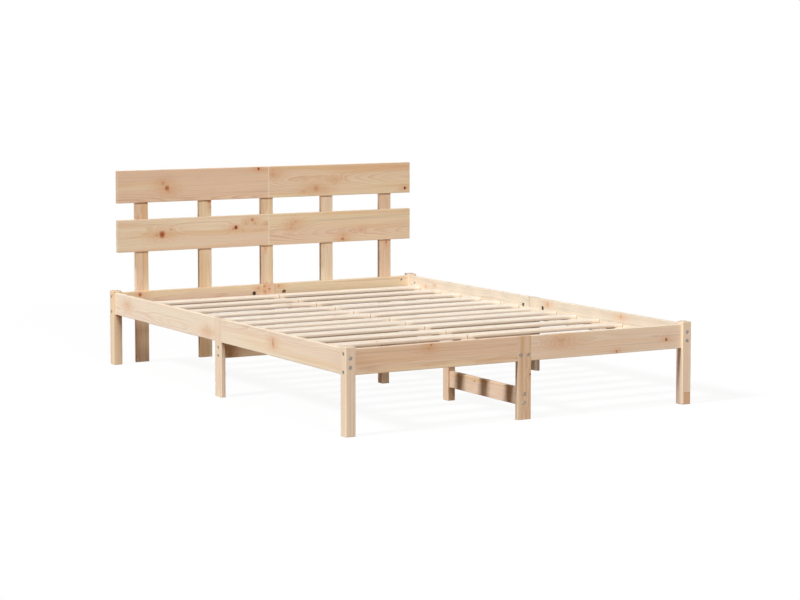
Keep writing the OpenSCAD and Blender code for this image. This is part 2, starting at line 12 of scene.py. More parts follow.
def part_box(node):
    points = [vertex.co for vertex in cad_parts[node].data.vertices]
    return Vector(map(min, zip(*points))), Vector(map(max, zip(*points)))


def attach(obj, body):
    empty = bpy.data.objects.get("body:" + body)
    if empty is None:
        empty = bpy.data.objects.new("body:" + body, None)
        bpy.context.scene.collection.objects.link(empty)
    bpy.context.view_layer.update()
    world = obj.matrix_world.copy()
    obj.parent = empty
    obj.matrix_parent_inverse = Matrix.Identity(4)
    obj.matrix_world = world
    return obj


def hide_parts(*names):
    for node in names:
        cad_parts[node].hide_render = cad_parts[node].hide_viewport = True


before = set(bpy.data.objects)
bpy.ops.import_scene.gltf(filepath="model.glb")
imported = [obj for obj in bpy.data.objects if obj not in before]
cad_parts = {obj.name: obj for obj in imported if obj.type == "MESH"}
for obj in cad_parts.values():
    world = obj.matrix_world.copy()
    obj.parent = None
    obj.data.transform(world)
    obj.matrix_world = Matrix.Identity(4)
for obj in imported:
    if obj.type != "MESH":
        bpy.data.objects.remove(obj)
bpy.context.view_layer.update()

# Studio: a plain white room. A small lamp high on the left throws the slats' shadows, a weaker one
# fills in from the foot of the bed, a broad weak one from behind, and the walls light the rest.
scene = bpy.context.scene
scene.view_settings.view_transform = "Standard"


def tint(red, green, blue):
    """Linear colour of the values from 0 to 255 that a screen shows."""
    shares = [value / 255 for value in (red, green, blue)]
    return (*[s / 12.92 if s <= 0.04045 else ((s + 0.055) / 1.055) ** 2.4 for s in shares], 1.0)


def feed(tree, socket, source):
    """Gives a socket a plain value, or joins another node's output to it."""
    if isinstance(source, bpy.types.NodeSocket):
        tree.links.new(source, socket)
    else:
        socket.default_value = source


def maths(tree, operation, *sources):
    node = tree.nodes.new("ShaderNodeMath")
    node.operation = operation
    for socket, source in zip(node.inputs, sources):
        feed(tree, socket, source)
    return node.outputs[0]


def seen_directly(tree):
    """1 where a surface is seen directly, in metal or through glass, and 0 for other light."""
    path = tree.nodes.new("ShaderNodeLightPath").outputs
    mirrored = maths(tree, "ADD", path["Is Glossy Ray"], path["Is Transmission Ray"])
    return maths(tree, "MINIMUM", maths(tree, "ADD", path["Is Camera Ray"], mirrored), 1.0)


def mix_shaders(tree, share, first, second, output_kind):
    """Ends a tree with the first shader at a share of 0 and the second at 1."""
    mix = tree.nodes.new("ShaderNodeMixShader")
    feed(tree, mix.inputs[0], share)
    tree.links.new(first.outputs[0], mix.inputs[1])
    tree.links.new(second.outputs[0], mix.inputs[2])
    tree.links.new(mix.outputs[0], tree.nodes.new(output_kind).inputs[0])


WHITE = (1, 1, 1, 1)
ROOM_LIGHT = 0.12
WALL_COLOUR = tint(255, 226, 194)
world = bpy.data.worlds.new("room")
world.use_nodes = True
scene.world = world
tree = world.node_tree
tree.nodes.clear()
walls = tree.nodes.new("ShaderNodeBackground")
walls.inputs["Color"].default_value = WALL_COLOUR
walls.inputs["Strength"].default_value = ROOM_LIGHT
backdrop = tree.nodes.new("ShaderNodeBackground")
backdrop.inputs["Color"].default_value = WHITE
backdrop.inputs["Strength"].default_value = 1.0
mix_shaders(tree, seen_directly(tree), walls, backdrop, "ShaderNodeOutputWorld")


def lamp(name, strength, width, heading, colour):
    """A far lamp that shines along heading: width is its apparent size in degrees."""
    data = bpy.data.lights.new(name, "SUN")
    data.energy = strength * math.pi
    data.angle = math.radians(width)
    data.color = colour
    holder = bpy.data.objects.new(name, data)
    holder.rotation_euler = Vector(heading).to_track_quat("-Z", "Y").to_euler()
    scene.collection.objects.link(holder)


lamp("lamp_left", strength=1.03, width=9, heading=(0.765, 0.050, -0.643), colour=(0.91, 0.96, 1.0))
lamp("lamp_foot", strength=0.56, width=16, heading=(0.11, 0.92, -0.38), colour=(0.98, 0.95, 0.93))
lamp("lamp_back", strength=0.24, width=60, heading=(-0.50, -0.80, -0.34), colour=(1.0, 0.96, 0.90))

# The floor reaches 40 m each way. It is seen nearly pure white and keeps a faint shadow, and its
# bounce is the share of red, green and blue light that it throws back at the bed.
FLOOR_REACH = 40
FLOOR_GLOW = 0.92
FLOOR_BOUNCE = (0.25, 0.15, 0.08)
floor_mesh = bpy.data.meshes.new("floor")
corners = [(-FLOOR_REACH, -FLOOR_REACH, 0), (FLOOR_REACH, -FLOOR_REACH, 0),
           (FLOOR_REACH, FLOOR_REACH, 0), (-FLOOR_REACH, FLOOR_REACH, 0)]
floor_mesh.from_pydata(corners, [], [(0, 1, 2, 3)])
floor = bpy.data.objects.new("floor", floor_mesh)
scene.collection.objects.link(floor)
floor_paint = bpy.data.materials.new("white_floor")
floor_paint.use_nodes = True
tree = floor_paint.node_tree
tree.nodes.clear()
seen = seen_directly(tree)
matt = tree.nodes.new("ShaderNodeBsdfDiffuse")
shade = tree.nodes.new("ShaderNodeCombineXYZ")
for socket, bounce in zip(shade.inputs, FLOOR_BOUNCE):
    feed(tree, socket, maths(tree, "MULTIPLY_ADD", seen, 1 - bounce, bounce))
feed(tree, matt.inputs["Color"], shade.outputs[0])
glow = tree.nodes.new("ShaderNodeEmission")
glow.inputs["Color"].default_value = WHITE
glow.inputs["Strength"].default_value = 1.0
glow_share = maths(tree, "MULTIPLY", seen, FLOOR_GLOW)
mix_shaders(tree, glow_share, matt, glow, "ShaderNodeOutputMaterial")
floor_mesh.materials.append(floor_paint)

# Camera: it stands off the foot of the bed on the left and looks a little down at it, through a
# long lens. The small shift sets the bed in the frame and keeps its legs nearly upright.
CAMERA_PLACE = (-4.4006, -7.7900, 1.3449)
CAMERA_PITCH, CAMERA_TURN = 84.916, -29.892
camera_data = bpy.data.cameras.new("camera")
camera_data.lens = 103.01
camera_data.sensor_width = 36
camera_data.shift_y = -0.07
camera = bpy.data.objects.new("camera", camera_data)
camera.location = CAMERA_PLACE
camera.rotation_euler = (math.radians(CAMERA_PITCH), 0, math.radians(CAMERA_TURN))
scene.collection.objects.link(camera)
scene.camera = camera

# Corner legs: four planed posts of 38 by 40 mm, cut from solid pine and left untreated, with their
# edges sanded round. The pine of every board is made here: growth rings round a heart that runs
# along the board, redder towards the heart, with knots where branches grew.


def vectors(tree, operation, *sources):
    node = tree.nodes.new("ShaderNodeVectorMath")
    node.operation = operation
    for socket, source in zip(node.inputs, sources):
        feed(tree, socket, source)
    return node.outputs["Value" if operation in ("LENGTH", "DOT_PRODUCT") else "Vector"]


def easing(tree, source, low, high):
    """Rises softly from 0 to 1 as the source goes from low to high."""
    node = tree.nodes.new("ShaderNodeMapRange")
    node.interpolation_type = "SMOOTHSTEP"
    feed(tree, node.inputs["Value"], source)
    node.inputs["From Min"].default_value = low
    node.inputs["From Max"].default_value = high
    return node.outputs["Result"]


def cloud(tree, place, detail):
    """Noise that is as coarse as one unit of place."""
    node = tree.nodes.new("ShaderNodeTexNoise")
    node.inputs["Scale"].default_value = 1.0
    node.inputs["Detail"].default_value = detail
    feed(tree, node.inputs["Vector"], place)
    return node.outputs["Fac"]


def cloud_line(tree, place, output):
    """Noise along a line, as one value or as the three of a colour."""
    node = tree.nodes.new("ShaderNodeTexNoise")
    node.noise_dimensions = "1D"
    node.inputs["Scale"].default_value = 1.0
    node.inputs["Detail"].default_value = 1.0
    feed(tree, node.inputs["W"], place)
    return node.outputs[output]


def blend(tree, share, first, second, way="MIX"):
    node = tree.nodes.new("ShaderNodeMix")
    node.data_type = "RGBA"
    node.blend_type = way
    feed(tree, node.inputs[0], share)
    feed(tree, node.inputs[6], first)
    feed(tree, node.inputs[7], second)
    return node.outputs[2]


def grey(tree, value):
    """The same value in red, green and blue."""
    node = tree.nodes.new("ShaderNodeCombineXYZ")
    for socket in node.inputs:
        feed(tree, socket, value)
    return node.outputs[0]


def split(tree, vector):
    node = tree.nodes.new("ShaderNodeSeparateXYZ")
    feed(tree, node.inputs[0], vector)
    return node.outputs


def shader_group(name, inputs, outputs):
    """An empty shader group with named sockets, and its inputs and outputs."""
    group = bpy.data.node_groups.new(name, "ShaderNodeTree")
    for direction, sockets in (("INPUT", inputs), ("OUTPUT", outputs)):
        for label, kind in sockets:
            group.interface.new_socket(label, in_out=direction, socket_type="NodeSocket" + kind)
    given = group.nodes.new("NodeGroupInput").outputs
    wanted = group.nodes.new("NodeGroupOutput").inputs
    return group, given, wanted


# A board's own place runs along the grain in X, across the board's face in Y and through the board
# in Z. Rates are in waves to the metre, and reaches and bends in metres.
KNOT_EDGE_RATES = (150, 210, 150)


def make_knot():
    """Adds one branch that runs through the board: its core, its stained halo and the bent rings.
    The values of the knots before it come in, and the stronger ones go on."""
    inputs = [("Place", "Vector"), ("Centre", "Vector"), ("Radius", "Float"), ("Stretch", "Float"),
              ("Strength", "Float")]
    running = [("Core", "Float"), ("Halo", "Float"), ("Rise", "Float")]
    group, given, wanted = shader_group("pine_knot", inputs + running, running)
    offset = vectors(group, "SUBTRACT", given["Place"], given["Centre"])
    parts = split(group, offset)
    along = maths(group, "DIVIDE", parts["X"], given["Stretch"])
    rough_edge = cloud(group, vectors(group, "MULTIPLY", offset, KNOT_EDGE_RATES), 2.0)
    ragged = maths(group, "MULTIPLY_ADD", rough_edge, 0.9, 0.55)

    def nearness(along_share, width):
        """Distance from the branch, near 1 at width times its radius. A share under 1 draws it
        out along the grain."""
        along_part = maths(group, "POWER", maths(group, "MULTIPLY", along, along_share), 2.0)
        across_part = maths(group, "POWER", parts["Y"], 2.0)
        reach = maths(group, "SQRT", maths(group, "ADD", along_part, across_part))
        reach = maths(group, "DIVIDE", reach, maths(group, "MULTIPLY", given["Radius"], width))
        return maths(group, "MULTIPLY", reach, ragged)

    core = maths(group, "SUBTRACT", 1.0, easing(group, nearness(1.0, 1.3), 0.25, 1.25))
    core = maths(group, "MULTIPLY", core, given["Strength"])
    feed(group, wanted["Core"], maths(group, "MAXIMUM", given["Core"], core))
    for label, along_share, width in (("Halo", 0.34, 2.0), ("Rise", 0.50, 2.2)):
        square = maths(group, "POWER", nearness(along_share, width), 2.0)
        fading = maths(group, "EXPONENT", maths(group, "MULTIPLY", square, -1.0))
        feed(group, wanted[label], maths(group, "MAXIMUM", given[label], fading))
    return group


WANDER_RATE, WANDER_REACH = 1.3, (0.020, 0.024, 0.0)
WARP_RATES, WARP_REACH = (4, 34), 0.006
KNOT_BEND = 0.012
UNEVEN_RATE = 60.0
STAIN_RATES, STAIN_FORCE = (0.9, 13), 3.6
HEARTWOOD_FROM, HEARTWOOD_TO, HEARTWOOD_SHARE = 0.028, 0.050, 0.35
ORANGE_RATES, ORANGE_SHARE = (1.1, 34), 0.8
FIBRE_RATES, STREAK_RATES, RESIN_RATES = (16, 620), (1.4, 150), (60, 1000)
STREAK_SHADE, RESIN_SHADE, END_SHADE = 0.15, 0.12, 0.18
SAPWOOD, HEARTWOOD, PALE_WOOD = tint(238, 220, 190), tint(234, 208, 183), tint(246, 236, 222)
SAPWOOD_LINE, HEARTWOOD_LINE = tint(220, 186, 144), tint(208, 164, 132)
PALE_LINE, ORANGE_WOOD = tint(236, 217, 195), tint(229, 192, 147)
KNOT_HALO, KNOT_RIM, KNOT_CORE = tint(216, 160, 112), tint(188, 108, 70), tint(112, 52, 38)


def make_grain():
    """The rings, fibres and stains of a pine board."""
    labels = ("Seed", "Heart Across", "Heart Deep", "Drift", "Dip", "Ring", "Pink", "Pale", "Tone",
              "End", "Core", "Halo", "Rise")
    inputs = [("Place", "Vector")] + [(label, "Float") for label in labels]
    outputs = [("Colour", "Color"), ("Roughness", "Float"), ("Height", "Float")]
    group, given, wanted = shader_group("pine_grain", inputs, outputs)
    own = vectors(group, "ADD", given["Place"], grey(group, given["Seed"]))

    def stretched(rates, detail=2.0):
        along, across = rates
        return cloud(group, vectors(group, "MULTIPLY", own, (along, across, across)), detail)

    # Distance from the heart, which wanders along the board
    place = split(group, given["Place"])
    line = maths(group, "ADD", place["X"], given["Seed"])
    line = maths(group, "MULTIPLY", line, WANDER_RATE)
    wander = vectors(group, "SUBTRACT", cloud_line(group, line, "Color"), (0.5, 0.5, 0.5))
    wander = split(group, vectors(group, "MULTIPLY", wander, WANDER_REACH))
    across = maths(group, "SUBTRACT", place["Y"], given["Heart Across"])
    across = maths(group, "ADD", across, wander["X"])
    across = maths(group, "ADD", across, maths(group, "MULTIPLY", place["X"], given["Drift"]))
    deep = maths(group, "SUBTRACT", place["Z"], given["Heart Deep"])
    deep = maths(group, "ADD", deep, wander["Y"])
    deep = maths(group, "ADD", deep, maths(group, "MULTIPLY", place["X"], given["Dip"]))
    across_part = maths(group, "POWER", across, 2.0)
    deep_part = maths(group, "POWER", deep, 2.0)
    radius = maths(group, "SQRT", maths(group, "ADD", across_part, deep_part))
    warp = maths(group, "SUBTRACT", stretched(WARP_RATES), 0.5)
    radius = maths(group, "ADD", radius, maths(group, "MULTIPLY", warp, WARP_REACH))
    radius = maths(group, "MULTIPLY_ADD", given["Rise"], KNOT_BEND, radius)

    # Each year's ring is pale at first and closes with a thin darker line, stronger in some years
    turns = maths(group, "MULTIPLY_ADD", radius, UNEVEN_RATE, given["Seed"])
    uneven = cloud_line(group, turns, "Fac")
    years = maths(group, "ADD", maths(group, "DIVIDE", radius, given["Ring"]), uneven)
    share = maths(group, "FRACT", years)
    closing = maths(group, "SUBTRACT", 1.0, easing(group, share, 0.92, 1.0))
    late = maths(group, "MULTIPLY", easing(group, share, 0.30, 0.90), closing)
    chance = group.nodes.new("ShaderNodeTexWhiteNoise")
    chance.noise_dimensions = "1D"
    year = maths(group, "ADD", maths(group, "FLOOR", years), given["Seed"])
    feed(group, chance.inputs["W"], year)
    weight = maths(group, "MULTIPLY_ADD", chance.outputs["Value"], 0.7, 0.3)
    late = maths(group, "MULTIPLY", late, weight)

    # Pale yellow sapwood, pinker towards the heart and in stretched stains, with orange bands
    stain = maths(group, "SUBTRACT", stretched(STAIN_RATES), 0.5)
    pink = maths(group, "MULTIPLY_ADD", stain, STAIN_FORCE, given["Pink"])
    outside = easing(group, radius, HEARTWOOD_FROM, HEARTWOOD_TO)
    heartwood = maths(group, "SUBTRACT", 1.0, outside)
    pink = maths(group, "MULTIPLY_ADD", heartwood, HEARTWOOD_SHARE, pink)
    pink = easing(group, pink, 0.0, 1.0)
    orange = easing(group, stretched(ORANGE_RATES), 0.48, 0.72)
    orange = maths(group, "MULTIPLY", orange, ORANGE_SHARE)
    early_wood = blend(group, pink, SAPWOOD, HEARTWOOD)
    early_wood = blend(group, orange, early_wood, ORANGE_WOOD)
    early_wood = blend(group, given["Pale"], early_wood, PALE_WOOD)
    late_wood = blend(group, pink, SAPWOOD_LINE, HEARTWOOD_LINE)
    late_wood = blend(group, given["Pale"], late_wood, PALE_LINE)
    late_share = maths(group, "MULTIPLY_ADD", given["Halo"], 0.35, 0.55)
    colour = blend(group, maths(group, "MULTIPLY", late, late_share), early_wood, late_wood)

    # Fibres, darker streaks and the short dashes of resin canals
    fibre = stretched(FIBRE_RATES)
    streak = easing(group, stretched(STREAK_RATES), 0.58, 0.74)
    resin = easing(group, stretched(RESIN_RATES, 0.0), 0.72, 0.80)
    shade = maths(group, "MULTIPLY_ADD", fibre, 0.14, 0.93)
    for mark, depth in ((streak, STREAK_SHADE), (resin, RESIN_SHADE), (given["End"], END_SHADE)):
        shade = maths(group, "SUBTRACT", shade, maths(group, "MULTIPLY", mark, depth))
    shade = maths(group, "MULTIPLY", shade, given["Tone"])
    colour = blend(group, 1.0, colour, grey(group, shade), "MULTIPLY")

    # Knots
    colour = blend(group, maths(group, "MULTIPLY", given["Halo"], 0.45), colour, KNOT_HALO)
    core = blend(group, easing(group, given["Core"], 0.45, 1.0), KNOT_RIM, KNOT_CORE)
    colour = blend(group, easing(group, given["Core"], 0.0, 0.75), colour, core)
    feed(group, wanted["Colour"], colour)

    # Knots are smoother and sawn ends rougher, and fibres and rings stand out a little
    rough = maths(group, "MULTIPLY_ADD", fibre, 0.14, 0.52)
    rough = maths(group, "SUBTRACT", rough, maths(group, "MULTIPLY", given["Core"], 0.15))
    feed(group, wanted["Roughness"], maths(group, "MULTIPLY_ADD", given["End"], 0.12, rough))
    height = maths(group, "MULTIPLY_ADD", late, 0.5, fibre)
    height = maths(group, "SUBTRACT", height, maths(group, "MULTIPLY", resin, 0.8))
    feed(group, wanted["Height"], height)
    return group


def new_paint(name):
    """A material, its nodes and its shader."""
    paint = bpy.data.materials.new(name)
    paint.use_nodes = True
    return paint, paint.node_tree, paint.node_tree.nodes["Principled BSDF"]


def texture(tree, shader, height, strength, depth):
    """Bumps a surface by a height: depth is what a height of 1 stands for, in metres."""
    bump = tree.nodes.new("ShaderNodeBump")
    bump.inputs["Strength"].default_value = strength
    bump.inputs["Distance"].default_value = depth
    feed(tree, bump.inputs["Height"], height)
    feed(tree, shader.inputs["Normal"], bump.outputs[0])


def dress(node, paint):
    """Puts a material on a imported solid."""
    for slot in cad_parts[node].material_slots:
        slot.material = paint


KNOT = make_knot()
GRAIN = make_grain()
AXES = {"X": Vector((1, 0, 0)), "Y": Vector((0, 1, 0)), "Z": Vector((0, 0, 1))}
# Each board has its own seed. The right-hand board of a pair lies further on in the pattern, along
# the grain and across it. A painted highlight at a seam starts and is full at these distances from
# a board's end.
SEED_STEP, SEED_SPAN = 0.617, 9
PAIR_SHIFT = (2.9, 0.021)
SEAM_HIGHLIGHT_COLOUR, SEAM_HIGHLIGHT_FROM, SEAM_HIGHLIGHT_TO = tint(250, 240, 222), 0.0035, 0.0015
board_numbers = itertools.count(1)


def pine(node, grain, face, heart, ring, pink, knots=None, pale=0.0, tone=1.0, pair=False,
         painted_seam_highlight=0.0, dip=0.0):
    """Pine for one board: grain and face name the axes along and across it, heart gives the
    heart's place across and through it in mm, and ring is the width of a year's ring in mm. Knots
    are (along, across, radius, strength) in the bed's own frame in mm, or drawn by chance. Pink
    wood is redder, pale wood is nearer white, and a tone under 1 darkens the whole board; on the
    right side rails that darkening is painted shade. A pair of boards in one node gets different
    wood on each side of the bed. A painted seam highlight is a pale band at the end nearest the
    bed's middle, and a dip is the slope of the heart through the board, which draws the rings out
    to flames."""
    number = next(board_numbers)
    luck = random.Random(number)
    low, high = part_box(node)
    along, across = AXES[grain], AXES[face]
    turn = Matrix((along, across, along.cross(across)))
    length, width = abs(along @ (high - low)), abs(across @ (high - low))
    middle = turn @ ((low + high) / 2)

    paint, tree, shader = new_paint("pine_" + node)
    shader.inputs["Specular IOR Level"].default_value = 0.15
    coordinates = tree.nodes.new("ShaderNodeTexCoord").outputs
    mapping = tree.nodes.new("ShaderNodeMapping")
    mapping.inputs["Rotation"].default_value = turn.to_euler()
    mapping.inputs["Location"].default_value = -middle
    feed(tree, mapping.inputs["Vector"], coordinates["Object"])
    place = mapping.outputs[0]
    if pair:
        right = maths(tree, "GREATER_THAN", split(tree, coordinates["Object"])["X"], 0.0)
        shift = tree.nodes.new("ShaderNodeCombineXYZ")
        for socket, reach in zip(shift.inputs, PAIR_SHIFT):
            feed(tree, socket, maths(tree, "MULTIPLY", right, reach))
        place = vectors(tree, "ADD", place, shift.outputs[0])
    ends = vectors(tree, "DOT_PRODUCT", coordinates["Normal"], along)
    ends = easing(tree, maths(tree, "ABSOLUTE", ends), 0.6, 0.95)

    if knots is None:
        count = min(3, round(length * luck.uniform(0.3, 2.2)))
        knots = [(luck.uniform(-0.5, 0.5) * length, luck.uniform(-0.42, 0.42) * width,
                  luck.uniform(2, 5) / 1000, luck.uniform(0.4, 0.9)) for _ in range(count)]
        if pair:
            knots = [(x + PAIR_SHIFT[0] * (x > 0), y + PAIR_SHIFT[1] * (x > 0), radius, force)
                     for x, y, radius, force in knots]
    else:
        knots = [(x / 1000 - middle[0], y / 1000 - middle[1], radius / 1000, force)
                 for x, y, radius, force in knots]
    running = {"Core": 0.0, "Halo": 0.0, "Rise": 0.0}
    for x, y, radius, force in knots:
        knot = tree.nodes.new("ShaderNodeGroup")
        knot.node_tree = KNOT
        feed(tree, knot.inputs["Place"], place)
        knot.inputs["Centre"].default_value = (x, y, 0)
        knot.inputs["Radius"].default_value = radius
        knot.inputs["Stretch"].default_value = luck.uniform(0.65, 0.9)
        knot.inputs["Strength"].default_value = force
        for label, value in running.items():
            feed(tree, knot.inputs[label], value)
        running = {label: knot.outputs[label] for label in running}

    wood = tree.nodes.new("ShaderNodeGroup")
    wood.node_tree = GRAIN
    settings = {"Place": place, "End": ends, "Seed": number * SEED_STEP % SEED_SPAN,
                "Heart Across": heart[0] / 1000, "Heart Deep": heart[1] / 1000,
                "Drift": luck.uniform(-0.012, 0.012), "Dip": dip, "Ring": ring / 1000,
                "Pink": pink, "Pale": pale, "Tone": tone, **running}
    for label, value in settings.items():
        feed(tree, wood.inputs[label], value)
    colour = wood.outputs["Colour"]
    # Painted highlight: a pale band at the board's end nearest the bed's middle, standing in for
    # light on the rounded end edges at the seam.
    if painted_seam_highlight:
        inwards = -math.copysign(1, middle[0])
        reach = maths(tree, "MULTIPLY", split(tree, place)["X"], inwards)
        seam_highlight_mask = easing(tree, reach, length / 2 - SEAM_HIGHLIGHT_FROM, length / 2 - SEAM_HIGHLIGHT_TO)
        colour = blend(tree, maths(tree, "MULTIPLY", seam_highlight_mask, painted_seam_highlight), colour, SEAM_HIGHLIGHT_COLOUR)
    texture(tree, shader, wood.outputs["Height"], strength=0.35, depth=0.0003)
    feed(tree, shader.inputs["Base Color"], colour)
    feed(tree, shader.inputs["Roughness"], wood.outputs["Roughness"])
    dress(node, paint)
    return tree, shader, colour


pine("corner_leg_foot_left", "Z", "Y", heart=(10, 34), ring=2.4, pink=0.45, pale=0.4)
pine("corner_leg_head_left", "Z", "Y", heart=(24, -28), ring=2.6, pink=0.6)
pine("corner_leg_head_right", "Z", "Y", heart=(-8, 42), ring=2.4, pink=0.4, pale=0.4)

# The leg at the foot on the right has a flaw low on its front, filled with a plug of redder wood.
PLUG_LEFT, PLUG_TOP, PLUG_LINE, PLUG_SOFT = 0.697, 0.047, 0.003, 0.001
PLUG_SEAM, PLUG_WOOD = tint(220, 190, 160), tint(222, 184, 158)
tree, shader, colour = pine("corner_leg_foot_right", "Z", "Y", heart=(-16, 30), ring=2.8, pink=0.2,
                            pale=0.3)
leg_place = split(tree, tree.nodes.new("ShaderNodeTexCoord").outputs["Object"])


def plug(inset, strength):
    """As strong as given on the plug, which starts inset from its outline, and 0 beside it."""
    beside = easing(tree, leg_place["X"], PLUG_LEFT + inset, PLUG_LEFT + inset + PLUG_SOFT)
    above = easing(tree, leg_place["Z"], PLUG_TOP - inset - PLUG_SOFT, PLUG_TOP - inset)
    inside = maths(tree, "MULTIPLY", beside, maths(tree, "SUBTRACT", 1.0, above))
    return maths(tree, "MULTIPLY", inside, strength)


colour = blend(tree, plug(0.0, 0.7), colour, PLUG_SEAM, "MULTIPLY")
colour = blend(tree, plug(PLUG_LINE, 0.45), colour, PLUG_WOOD)
feed(tree, shader.inputs["Base Color"], colour)

# Middle legs: four flat boards of 56 by 18 mm that the half rails butt, from the floor to the top
# of the rails. They are planed pine, bolted to the braces with flat-headed bolts.
pine("middle_leg_left", "Z", "Y", heart=(-8, 40), ring=2.6, pink=0.5, pale=0.4)
pine("middle_leg_right", "Z", "Y", heart=(12, -46), ring=2.8, pink=0.2, pale=0.5, tone=0.86)
pine("middle_leg_foot", "Z", "X", heart=(6, 50), ring=2.8, pink=1.0, knots=[(162, 25, 5, 0.9)],
     tone=0.95)
pine("middle_leg_head", "Z", "X", heart=(-10, -44), ring=3.0, pink=0.9,
     knots=[(278, 0, 6, 0.55), (290, -22, 5, 0.5), (268, -20, 6, 0.4)])

# Side rails: boards of 90 by 18 mm on edge, in two halves a side, with their barrel nuts' holes and
# their nut pockets in the inner face.
pine("side_rail_left_foot", "Y", "Z", heart=(46, 50), ring=3.2, pink=0.3, pale=0.3,
     knots=[(-467, 256, 10, 0.45), (-465, 267, 9, 0.35), (-471, 246, 7, 0.3)])
pine("side_rail_left_head", "Y", "Z", heart=(-14, 55), ring=3.4, pink=0.15, pale=0.5,
     knots=[(860, 262, 12, 0.1), (90, 240, 12, 0.1)])
# The right rails' tone of 0.85 darkens them as painted shade on their inner faces, which face the
# bed.
pine("side_rail_right_foot", "Y", "Z", heart=(-10, 48), ring=3.0, pink=0.0, pale=0.55, tone=0.85,
     knots=[(-114, 281, 9, 0.35), (-622, 283, 9, 0.3)])
pine("side_rail_right_head", "Y", "Z", heart=(8, 60), ring=3.2, pink=0.0, pale=0.55, tone=0.85,
     knots=[(856, 262, 5, 0.5), (779, 275, 4, 0.5)])

# Foot and head rails: the same boards across the bed, in two halves that butt the middle leg.
# Where the halves of the foot rail meet the leg, a pale band is painted on their ends as a
# highlight.
pine("foot_rail_left", "X", "Z", heart=(-30, 66), ring=3.2, pink=1.0, painted_seam_highlight=0.3,
     knots=[(-386, 294, 5, 0.45), (-394, 281, 8, 0.2)])
pine("foot_rail_right", "X", "Z", heart=(12, 58), ring=3.0, pink=0.9, pale=0.42, painted_seam_highlight=0.3,
     knots=[(398, 217, 6, 0.5), (621, 247, 6, 0.75), (155, 274, 16, 0.12)])
pine("head_rail_left", "X", "Z", heart=(10, 54), ring=3.0, pink=0.9,
     knots=[(-603, 286, 9, 0.65), (-52, 284, 7, 0.4)])
pine("head_rail_right", "X", "Z", heart=(-16, 60), ring=3.0, pink=0.2, knots=[(46, 288, 8, 0.3)])

# Headboard: two rows of planks of 135 by 18 mm, each in two halves with a seam in the middle,
# screwed from behind to five uprights of 58 by 18 mm that stand on the floor.
# The plank halves get a painted highlight, a pale band along their ends at the seam.
pine("plank_top_left", "X", "Z", heart=(-62, 48), ring=3.4, pink=0.85, painted_seam_highlight=0.6,
     knots=[(-494, 749, 12, 0.3), (-476, 728, 12, 0.6), (-468, 714, 8, 0.25), (-48, 797, 7, 0.8)])
pine("plank_top_right", "X", "Z", heart=(6, 66), ring=3.8, pink=0.7, painted_seam_highlight=0.6, dip=0.045,
     knots=[(20, 772, 11, 0.2), (230, 704, 16, 0.3), (222, 704, 6, 0.3), (170, 692, 7, 0.2),
            (320, 738, 10, 0.12), (675, 692, 7, 1.0)])
pine("plank_low_left", "X", "Z", heart=(16, 78), ring=3.4, pink=0.5, pale=0.2, painted_seam_highlight=0.6,
     knots=[(-500, 534, 15, 0.7), (-524, 532, 8, 0.3), (-459, 553, 4, 0.4), (-157, 550, 9, 0.9),
            (-170, 545, 6, 0.35), (-79, 580, 8, 0.5), (-68, 566, 8, 0.3), (-108, 567, 8, 0.2),
            (-13, 560, 8, 0.25)])
pine("plank_low_right", "X", "Z", heart=(-20, 66), ring=3.8, pink=0.5, painted_seam_highlight=0.6, dip=0.04,
     knots=[(112, 552, 9, 0.25), (128, 564, 9, 0.2), (107, 538, 7, 0.2), (360, 478, 9, 0.5),
            (364, 494, 8, 0.2), (452, 514, 5, 0.25)])
pine("upright_1", "Z", "X", heart=(-6, 40), ring=2.8, pink=0.75, knots=[(600, -602, 4, 0.4)])
pine("upright_2", "Z", "X", heart=(10, 48), ring=2.8, pink=0.6,
     knots=[(664, -272, 7, 0.6), (640, -268, 5, 0.4)])
pine("upright_3", "Z", "X", heart=(0, 44), ring=2.8, pink=0.5, knots=[(452, -8, 4, 0.3)])
pine("upright_4", "Z", "X", heart=(-14, 50), ring=2.8, pink=0.3, pale=0.3,
     knots=[(458, 278, 4, 0.3)])
pine("upright_5", "Z", "X", heart=(8, 42), ring=2.8, pink=0.35, knots=[(452, 590, 6, 0.5)])

# Centre beam, cross beam, centre legs and stretchers: the pine frame under the slats. The beam lies
# flat along the middle, the cross beam and the stretchers stand on edge, and bolts hold them.
pine("centre_beam_foot", "Y", "X", heart=(10, 44), ring=3.0, pink=0.6, pale=0.7)
pine("centre_beam_head", "Y", "X", heart=(-12, 50), ring=3.0, pink=0.6, pale=0.7)
pine("cross_beam_left", "X", "Z", heart=(8, 46), ring=3.0, pink=0.7)
pine("cross_beam_right", "X", "Z", heart=(-8, 52), ring=3.0, pink=0.7)
pine("centre_leg_foot", "Z", "X", heart=(8, 34), ring=2.6, pink=0.6)
pine("centre_leg_middle", "Z", "X", heart=(-6, 30), ring=2.6, pink=0.8)
pine("centre_leg_head", "Z", "X", heart=(4, -36), ring=2.6, pink=0.6)
pine("stretcher_foot", "Y", "Z", heart=(-12, 48), ring=3.0, pink=0.7)
pine("stretcher_head", "Y", "Z", heart=(10, 44), ring=3.0, pink=0.6)

# Ledges: strips of 36 by 28 mm in paler pine, screwed along the inside of the side rails. The
# outer ends of the slats lie on them.
for node, heart in (("ledge_left_foot", (6, 38)), ("ledge_left_head", (-8, 42)),
                    ("ledge_right_foot", (-4, -40)), ("ledge_right_head", (10, 36))):
    pine(node, "Y", "X", heart, ring=2.8, pink=0.4, pale=0.8)

